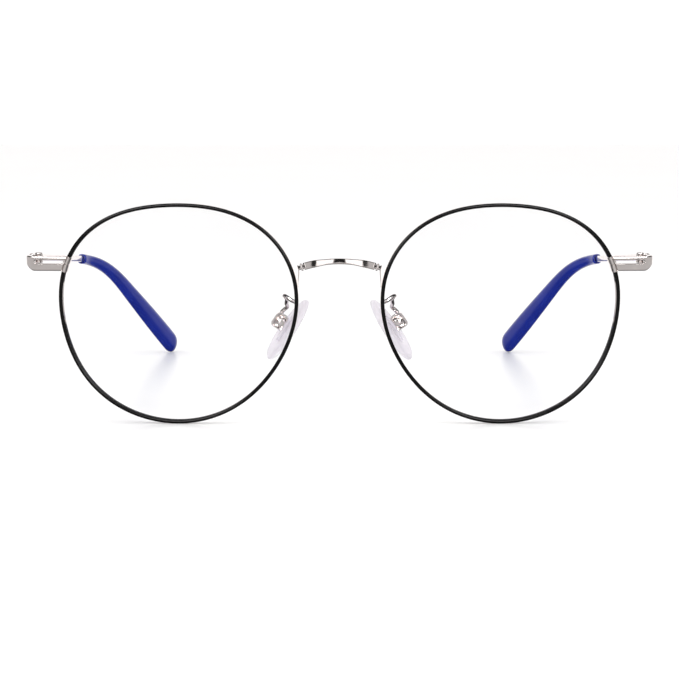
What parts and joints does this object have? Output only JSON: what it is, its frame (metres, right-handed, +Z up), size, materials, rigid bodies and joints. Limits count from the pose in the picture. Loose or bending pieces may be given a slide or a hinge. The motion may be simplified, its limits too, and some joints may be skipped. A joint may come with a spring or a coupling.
{
  "type": "blue light glasses",
  "caption": "Round full-rim metal spectacles with a black eyewire, silver bridge and slotted endpieces, clear lenses, rocking nose pads and folding temples with blue sleeves.",
  "frame": {"origin": "on the floor under the middle of the whole object's box, temples open", "axes": "+Z up, the front faces -Y, +X is the wearer's left, temples run to +Y"},
  "size_m": [0.1374, 0.1344, 0.0481],
  "materials": {
    "enamel": "black gloss enamel on the front of the eyewire, silver at its edges",
    "silver": "polished silver plating",
    "lens": "clear, anti-reflection coated",
    "sleeve": "royal blue, slightly translucent, glossy",
    "silicone": "clear soft silicone",
    "insert": "clear hard plastic"
  },
  "bodies": {
    "front": {"bridge": "silver", "closing_block_lower_left": "silver", "closing_block_lower_right": "silver", "closing_block_upper_left": "silver", "closing_block_upper_right": "silver", "endpiece_left": "silver", "endpiece_right": "silver", "eyewire_left": "enamel", "eyewire_right": "enamel", "hinge_leaf_front_left": "silver", "hinge_leaf_front_right": "silver", "hinge_screw_left": "silver", "hinge_screw_right": "silver", "lens_left": "lens", "lens_right": "lens", "pad_arm_left": "silver", "pad_arm_right": "silver", "pad_box_left": "silver", "pad_box_right": "silver", "pad_screw_left": "silver", "pad_screw_right": "silver", "rim_screw_left": "silver", "rim_screw_right": "silver"},
    "temple_left": {"hinge_leaf_temple_left": "silver", "temple_core_left": "silver", "temple_sleeve_left": "sleeve"},
    "pad_left": {"nose_pad_left": "silicone", "pad_insert_left": "insert"},
    "temple_right": {"hinge_leaf_temple_right": "silver", "temple_core_right": "silver", "temple_sleeve_right": "sleeve"},
    "pad_right": {"nose_pad_right": "silicone", "pad_insert_right": "insert"}
  },
  "joints": [
    {"name": "temple_left_fold", "type": "hinge", "parent": "front", "child": "temple_left", "pos_m": [0.06609, -0.05784, 0.03569], "axis": [0, 0, 1], "range_deg": [0, 82]},
    {"name": "temple_right_fold", "type": "hinge", "parent": "front", "child": "temple_right", "pos_m": [-0.06609, -0.05784, 0.03569], "axis": [0, 0, -1], "range_deg": [0, 74]},
    {"name": "pad_left_rock", "type": "hinge", "parent": "front", "child": "pad_left", "pos_m": [0.0128, -0.05812, 0.02168], "axis": [0, 1, 0], "range_deg": [-8, 8]},
    {"name": "pad_right_rock", "type": "hinge", "parent": "front", "child": "pad_right", "pos_m": [-0.0128, -0.05812, 0.02168], "axis": [0, -1, 0], "range_deg": [-8, 8]}
  ]
}
